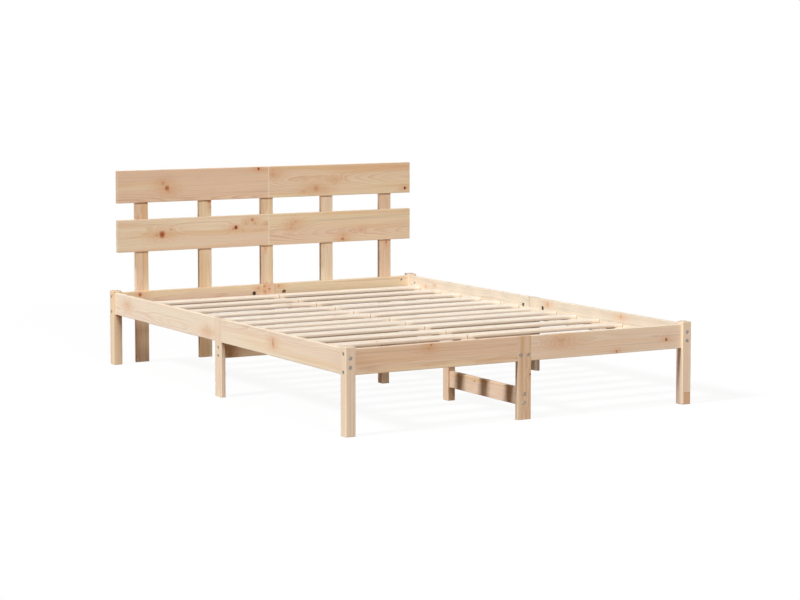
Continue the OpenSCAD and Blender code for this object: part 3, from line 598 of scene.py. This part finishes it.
# Slats: thirteen rows of two planed boards of 58 by 14 mm in paler wood, rounded along their edges
# and screwed to the ledges and the centre beam.
SLAT_ROWS = 13
SLAT_SEED = 40
for row in range(1, SLAT_ROWS + 1):
    luck = random.Random(SLAT_SEED + row)
    heart = (luck.uniform(-24, 24), luck.choice([-1, 1]) * luck.uniform(35, 70))
    pine("slat_row_%d" % row, "X", "Y", heart, ring=luck.uniform(2.6, 3.6),
         pink=luck.uniform(0.1, 0.6), pale=luck.uniform(0.7, 1.0), tone=luck.uniform(0.93, 0.97),
         pair=True)

# Bolts: 32 furniture bolts with flat round heads and hexagon sockets, turned from steel and bright
# zinc plated, sunk 3 mm into the legs. Their places are those of the bores, in mm in the bed's own
# frame, and each runs from the face of its head along a heading.
SPANGLE_RATES, GRIT_RATES = (420, 420, 420), (2600, 2600, 2600)
ZINC_DARK, ZINC_LIGHT = tint(136, 134, 131), tint(168, 166, 160)
SHARP_ANGLE = 38
CROSS_WAIST = 0.3


def steel_paint(name, dark, light, thread_pitch=0.0):
    """Plated steel between two tones, with a thread's crests if a pitch is given in metres."""
    paint, tree, shader = new_paint(name)
    shader.inputs["Metallic"].default_value = 1.0
    spot = tree.nodes.new("ShaderNodeTexCoord").outputs["Object"]
    spangle = cloud(tree, vectors(tree, "MULTIPLY", spot, SPANGLE_RATES), 2.0)
    grit = cloud(tree, vectors(tree, "MULTIPLY", spot, GRIT_RATES), 1.0)
    feed(tree, shader.inputs["Base Color"], blend(tree, spangle, dark, light))
    feed(tree, shader.inputs["Roughness"], maths(tree, "MULTIPLY_ADD", spangle, 0.16, 0.30))
    if thread_pitch:
        parts = split(tree, spot)
        run = maths(tree, "ADD", parts["X"], parts["Y"])
        wave = maths(tree, "SINE", maths(tree, "MULTIPLY", run, math.tau / thread_pitch))
        ridges = maths(tree, "MULTIPLY_ADD", wave, 0.5, grit)
        texture(tree, shader, ridges, strength=0.9, depth=0.0004)
    else:
        texture(tree, shader, grit, strength=0.3, depth=0.00008)
    return paint


def turned(name, steps, sides):
    """A closed part turned round Z from (radius, height) steps in mm, with a hexagon or cross in
    place of the circle where a step names one. The first and last steps lie on the axis."""
    mesh = bmesh.new()
    rings = []
    for step in steps:
        reach, height = step[:2]
        outline = step[2] if len(step) > 2 else ""
        if reach == 0:
            rings.append([mesh.verts.new((0, 0, height / 1000))])
            continue
        ring = []
        for k in range(sides):
            angle = k * math.tau / sides
            share = 1.0
            if outline == "hexagon":
                share = 1 / math.cos((angle + math.pi / 6) % (math.pi / 3) - math.pi / 6)
            if outline == "cross":
                share = CROSS_WAIST + (1 - CROSS_WAIST) * abs(math.cos(2 * angle)) ** 3
            r = reach * share / 1000
            ring.append(mesh.verts.new((r * math.cos(angle), r * math.sin(angle), height / 1000)))
        rings.append(ring)
    for first, second in zip(rings, rings[1:]):
        for k in range(sides):
            around = [first[k % len(first)], first[(k + 1) % len(first)],
                      second[(k + 1) % len(second)], second[k % len(second)]]
            mesh.faces.new(dict.fromkeys(around))
    bmesh.ops.recalc_face_normals(mesh, faces=mesh.faces)
    data = bpy.data.meshes.new(name)
    mesh.to_mesh(data)
    mesh.free()
    for face in data.polygons:
        face.use_smooth = True
    data.set_sharp_from_angle(angle=math.radians(SHARP_ANGLE))
    part = bpy.data.objects.new(name, data)
    scene.collection.objects.link(part)
    return part


def turned_shank(name, neck, crest, root, start, span, rings, tip, sides):
    """A shank 1 m long, which is set at its real length: a plain neck, then a thread of rings
    between two radii, then a tip. Each step is a radius in mm and a share of the length."""
    thread = [(root if k % 2 else crest, start + span * k / rings) for k in range(rings)]
    steps = neck + thread + [tip, (0, 1.0)]
    return turned(name, [(radius, share * 1000) for radius, share in steps], sides)


def make_setting():
    """Sets a head and a shank at every point, along its heading and as long as its reach."""
    group = bpy.data.node_groups.new("set_fasteners", "GeometryNodeTree")
    for label, kind in (("Places", "Geometry"), ("Head", "Object"), ("Shank", "Object"),
                        ("Metal", "Material"), ("Seed", "Int")):
        group.interface.new_socket(label, in_out="INPUT", socket_type="NodeSocket" + kind)
    group.interface.new_socket("Fasteners", in_out="OUTPUT", socket_type="NodeSocketGeometry")
    given = group.nodes.new("NodeGroupInput").outputs

    def attribute(label, kind):
        node = group.nodes.new("GeometryNodeInputNamedAttribute")
        node.data_type = kind
        node.inputs["Name"].default_value = label
        return node.outputs["Attribute"]

    aim = group.nodes.new("FunctionNodeAlignRotationToVector")
    aim.axis = "Z"
    feed(group, aim.inputs["Vector"], attribute("heading", "FLOAT_VECTOR"))
    spin = group.nodes.new("FunctionNodeRandomValue")
    spin.data_type = "FLOAT"
    spin_inputs = {socket.name: socket for socket in spin.inputs if socket.enabled}
    spin_inputs["Min"].default_value = 0.0
    spin_inputs["Max"].default_value = math.tau
    feed(group, spin_inputs["Seed"], given["Seed"])
    spin_turn = group.nodes.new("ShaderNodeCombineXYZ")
    feed(group, spin_turn.inputs["Z"], next(socket for socket in spin.outputs if socket.enabled))
    euler = group.nodes.new("FunctionNodeEulerToRotation")
    feed(group, euler.inputs[0], spin_turn.outputs[0])
    turn = group.nodes.new("FunctionNodeRotateRotation")
    turn.rotation_space = "LOCAL"
    feed(group, turn.inputs["Rotation"], aim.outputs["Rotation"])
    feed(group, turn.inputs["Rotate By"], euler.outputs[0])
    stretch = group.nodes.new("ShaderNodeCombineXYZ")
    stretch.inputs["X"].default_value = 1.0
    stretch.inputs["Y"].default_value = 1.0
    feed(group, stretch.inputs["Z"], attribute("reach", "FLOAT"))
    joined = group.nodes.new("GeometryNodeJoinGeometry")
    for label in ("Head", "Shank"):
        part = group.nodes.new("GeometryNodeObjectInfo")
        feed(group, part.inputs["Object"], given[label])
        setting = group.nodes.new("GeometryNodeInstanceOnPoints")
        feed(group, setting.inputs["Points"], given["Places"])
        feed(group, setting.inputs["Instance"], part.outputs["Geometry"])
        feed(group, setting.inputs["Rotation"], turn.outputs[0])
        if label == "Shank":
            feed(group, setting.inputs["Scale"], stretch.outputs[0])
        feed(group, joined.inputs[0], setting.outputs[0])
    real = group.nodes.new("GeometryNodeRealizeInstances")
    feed(group, real.inputs[0], joined.outputs[0])
    coat = group.nodes.new("GeometryNodeSetMaterial")
    feed(group, coat.inputs["Geometry"], real.outputs[0])
    feed(group, coat.inputs["Material"], given["Metal"])
    feed(group, group.nodes.new("NodeGroupOutput").inputs[0], coat.outputs[0])
    return group


SETTING = make_setting()


def fasten(name, places, head, shank, metal, seed):
    """One piece of fasteners at (x, y, z, heading, length) in mm, for the CAD node of that name."""
    points = bpy.data.meshes.new(name)
    points.from_pydata([(x / 1000, y / 1000, z / 1000) for x, y, z, *_ in places], [], [])
    for label, kind in (("heading", "FLOAT_VECTOR"), ("reach", "FLOAT")):
        points.attributes.new(label, kind, "POINT")
    for k, (_, _, _, heading, reach) in enumerate(places):
        points.attributes["heading"].data[k].vector = heading
        points.attributes["reach"].data[k].value = reach / 1000
    piece = bpy.data.objects.new(name + "_turned", points)
    scene.collection.objects.link(piece)
    modifier = piece.modifiers.new("set_fasteners", "NODES")
    modifier.node_group = SETTING
    inputs = [item for item in SETTING.interface.items_tree if item.in_out == "INPUT"]
    sockets = {item.name: item.identifier for item in inputs}
    for label, value in (("Head", head), ("Shank", shank), ("Metal", metal), ("Seed", seed)):
        modifier[sockets[label]] = value
    evaluated = piece.evaluated_get(bpy.context.evaluated_depsgraph_get())
    shaped = bpy.data.meshes.new_from_object(evaluated)
    piece.modifiers.clear()
    piece.data = shaped
    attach(piece, "root")
    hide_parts(name)


BOLT_HEAD = [(0, -0.4), (2, -0.4, "hexagon"), (2, -2.05, "hexagon"), (2.7, -2.2), (4.9, -2.2),
             (5.6, -2.05), (6.05, -1.65), (6.25, -1.1), (6.25, -0.15), (6.05, 0), (0, 0)]
BOLT_NECK = [(0, -0.001), (3, -0.001), (3, 0.40)]
bolt_head = turned("bolt_head", BOLT_HEAD, sides=24)
bolt_shank = turned_shank("bolt_shank", BOLT_NECK, crest=3, root=2.55, start=0.41, span=0.57,
                          rings=40, tip=(2.3, 1.0), sides=16)
bright_zinc = steel_paint("bright_zinc", ZINC_DARK, ZINC_LIGHT)

RIGHT, BACK, DOWN = Vector((1, 0, 0)), Vector((0, 1, 0)), Vector((0, 0, -1))
MID_Y = -4
BOLT_RECESS = 3
# The outer faces of the left corner legs and of those at the foot, the outer faces of the rails
# and middle legs there, the middles of those rails, and the centre leg's face towards the head
LEFT_X, FOOT_Y = -727.5, -1032.5
SIDE_X, END_Y = -718.5, -1022.5
SIDE_MID_X, END_MID_Y = -709.5, -1013.5
CENTRE_LEG_BACK_Y = -484.5
END_BOLTS_Z, SIDE_BOLTS_Z, CROSS_BOLTS_Z, LOW_BOLTS_Z = (221, 284), (238, 270), (157, 189), (60, 92)
BEAM_BOLT_Z, BEAM_BOLT_X = 232, 16
END_BOLT, SIDE_BOLT, BRACE_BOLT = 76, 78, 56


def at_ends(place):
    """A place at the foot, and the same place turned over for the head."""
    x, y, z, heading, reach = place
    return [place, (x, 2 * MID_Y - y, z, Vector((heading.x, -heading.y, heading.z)), reach)]


def at_sides(place):
    """A place on the left, and the same place turned over for the right."""
    x, y, z, heading, reach = place
    return [place, (-x, y, z, Vector((-heading.x, heading.y, heading.z)), reach)]


leg_places = [(LEFT_X + BOLT_RECESS, END_MID_Y, z, RIGHT, END_BOLT) for z in END_BOLTS_Z]
leg_places += [(SIDE_MID_X, FOOT_Y + BOLT_RECESS, z, BACK, SIDE_BOLT) for z in SIDE_BOLTS_Z]
corner_places = [twin for place in leg_places for end in at_ends(place) for twin in at_sides(end)]
fasten("corner_bolts", corner_places, bolt_head, bolt_shank, bright_zinc, seed=3)
middle_places = []
for z in CROSS_BOLTS_Z:
    middle_places += at_sides((SIDE_X + BOLT_RECESS, MID_Y, z, RIGHT, BRACE_BOLT))
end_places = [(x, END_Y + BOLT_RECESS, BEAM_BOLT_Z, BACK, BRACE_BOLT)
              for x in (-BEAM_BOLT_X, BEAM_BOLT_X)]
end_places += [(0, END_Y + BOLT_RECESS, z, BACK, BRACE_BOLT) for z in LOW_BOLTS_Z]
end_places += [(0, CENTRE_LEG_BACK_Y - BOLT_RECESS, z, -BACK, END_BOLT) for z in LOW_BOLTS_Z]
middle_places += [place for end in end_places for place in at_ends(end)]
fasten("middle_bolts", middle_places, bolt_head, bolt_shank, bright_zinc, seed=5)

# Barrel nuts, rods, nuts and washers: the bolts' cross nuts and the threaded rods that pull the
# halves of the rails together in their pockets, all zinc plated. They keep their imported shapes.
# The nuts and washers are painted a dark brown-grey as painted shade inside the pockets.
THREAD_PITCH = 0.001
threaded_zinc = steel_paint("threaded_zinc", ZINC_DARK, ZINC_LIGHT, THREAD_PITCH)
# Painted shade: this dark brown-grey zinc on the nuts and washers stands for the shade inside the
# pockets.
pocket_shade_zinc = steel_paint("pocket_shade_zinc", tint(92, 80, 66), tint(120, 106, 88))
for node, paint in (("barrel_nuts", bright_zinc), ("joint_washers", pocket_shade_zinc),
                    ("joint_nuts", pocket_shade_zinc), ("joint_rods", threaded_zinc)):
    dress(node, paint)

# Screws: countersunk wood screws with a cross recess, in yellow-plated steel, flush with the slats,
# the ledges, the centre beam and the backs of the uprights.
SCREW_HEAD = [(0, 1.5), (0.9, 1.5, "cross"), (2.3, 0.05, "cross"), (3.6, 0.0), (3.95, 0.2),
              (2.0, 2.35), (0, 2.35)]
SCREW_NECK = [(0, 0.04), (2, 0.04)]
screw_head = turned("screw_head", SCREW_HEAD, sides=12)
screw_shank = turned_shank("screw_shank", SCREW_NECK, crest=2, root=1.5, start=0.34, span=0.56,
                           rings=8, tip=(1.6, 0.93), sides=6)
yellow_zinc = steel_paint("yellow_zinc", tint(196, 170, 112), tint(222, 200, 146))

SLAT_SCREW, LEDGE_SCREW, BEAM_SCREW, UPRIGHT_SCREW = 30, 48, 60, 32
SLAT_TOP, SLAT_SCREWS_X = 260, (-684, -16.5)
slats = [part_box("slat_row_%d" % row) for row in range(1, SLAT_ROWS + 1)]
slat_mids = [500 * (low.y + high.y) for low, high in slats]
slat_places = [place for y in slat_mids for x in SLAT_SCREWS_X
               for place in at_sides((x, y, SLAT_TOP, DOWN, SLAT_SCREW))]
fasten("slat_screws", slat_places, screw_head, screw_shank, yellow_zinc, seed=7)

# The ledges are screwed to the rails between slats, counted from the foot, and the centre beam is
# screwed down on the centre legs.
LEDGE_INNER_X, LEDGE_SCREW_Z, LEDGE_SCREW_GAPS = -664.5, 232, (0, 2, 4, 7, 9, 11)
BEAM_TOP, BEAM_SCREW_X, BEAM_SCREWS_Y = 246, 7.75, (-503.5, -13.5)
frame_places = []
for gap in LEDGE_SCREW_GAPS:
    gap_y = (slat_mids[gap] + slat_mids[gap + 1]) / 2
    frame_places += at_sides((LEDGE_INNER_X, gap_y, LEDGE_SCREW_Z, -RIGHT, LEDGE_SCREW))
for x in (-BEAM_SCREW_X, BEAM_SCREW_X):
    for y in BEAM_SCREWS_Y:
        frame_places += at_ends((x, y, BEAM_TOP, DOWN, BEAM_SCREW))

# Each upright but the middle one holds the head rail and the planks, given by bottom and height,
# with two screws a board, set diagonally. The middle one has its screws in pairs at one height:
# two pairs into the middle leg, and one on either side of each row's seam.
BOARDS = [(210, 90), (466, 135), (671, 135)]
UPRIGHT_PITCH, SCREW_OFFSET, UPRIGHT_BACK = 292, 14.5, 1032.5
MIDDLE_SCREWS_Z = (160, 277.5, 533.5, 738.5)
for upright in (-2, -1, 1, 2):
    for bottom, height in BOARDS:
        for k in (-1, 1):
            x = upright * UPRIGHT_PITCH - k * math.copysign(SCREW_OFFSET, upright)
            z = bottom + (2 - k) * height / 4
            frame_places.append((x, UPRIGHT_BACK, z, -BACK, UPRIGHT_SCREW))
for z in MIDDLE_SCREWS_Z:
    frame_places += at_sides((-SCREW_OFFSET, UPRIGHT_BACK, z, -BACK, UPRIGHT_SCREW))
fasten("frame_screws", frame_places, screw_head, screw_shank, yellow_zinc, seed=9)
for part in (bolt_head, bolt_shank, screw_head, screw_shank):
    bpy.data.objects.remove(part)

# Dowels: beech pegs of 8 mm, glued into the ends of the half rails. They line the rails up with the
# holes in the middle legs.
BEECH_LIGHT, BEECH_DARK, BEECH_FLECK = tint(226, 192, 156), tint(208, 168, 130), tint(176, 128, 92)
FLECK_RATES, MOTTLE_RATES = (700, 700, 1400), (90, 90, 400)
beech, tree, shader = new_paint("beech")
shader.inputs["Specular IOR Level"].default_value = 0.2
spot = tree.nodes.new("ShaderNodeTexCoord").outputs["Object"]
fleck = cloud(tree, vectors(tree, "MULTIPLY", spot, FLECK_RATES), 1.0)
fleck = maths(tree, "MULTIPLY", easing(tree, fleck, 0.5, 0.75), 0.5)
mottle = cloud(tree, vectors(tree, "MULTIPLY", spot, MOTTLE_RATES), 3.0)
warm = blend(tree, mottle, BEECH_LIGHT, BEECH_DARK)
feed(tree, shader.inputs["Base Color"], blend(tree, fleck, warm, BEECH_FLECK))
feed(tree, shader.inputs["Roughness"], maths(tree, "MULTIPLY_ADD", mottle, 0.2, 0.45))
texture(tree, shader, mottle, strength=0.3, depth=0.0002)
dress("dowels", beech)
